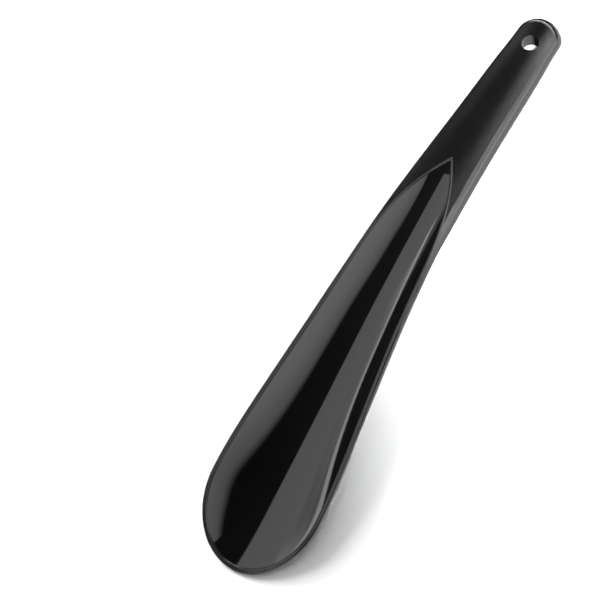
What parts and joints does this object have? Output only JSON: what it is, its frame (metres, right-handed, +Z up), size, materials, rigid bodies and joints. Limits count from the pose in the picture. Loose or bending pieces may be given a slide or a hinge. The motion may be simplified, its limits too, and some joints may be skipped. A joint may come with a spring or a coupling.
{
  "type": "long shoehorn",
  "caption": "Long-handled shoehorn: a scooped glossy blade that guides the heel, a slim convex handle and a hanging hole.",
  "frame": {"origin": "middle of the part's box in X and Y, on the surface that it lies on", "axes": "+Z up out of the dish, +Y from the toe of the blade to the handle end, +X across; the part is symmetric about X = 0"},
  "size_m": [0.049, 0.25, 0.0234],
  "materials": {
    "satin_black": "satin moulded plastic, softly shiny",
    "gloss_black": "mirror-smooth high gloss"
  },
  "bodies": {
    "root": {"handle_shell": "satin_black", "dish_liner": "gloss_black"}
  },
  "joints": []
}
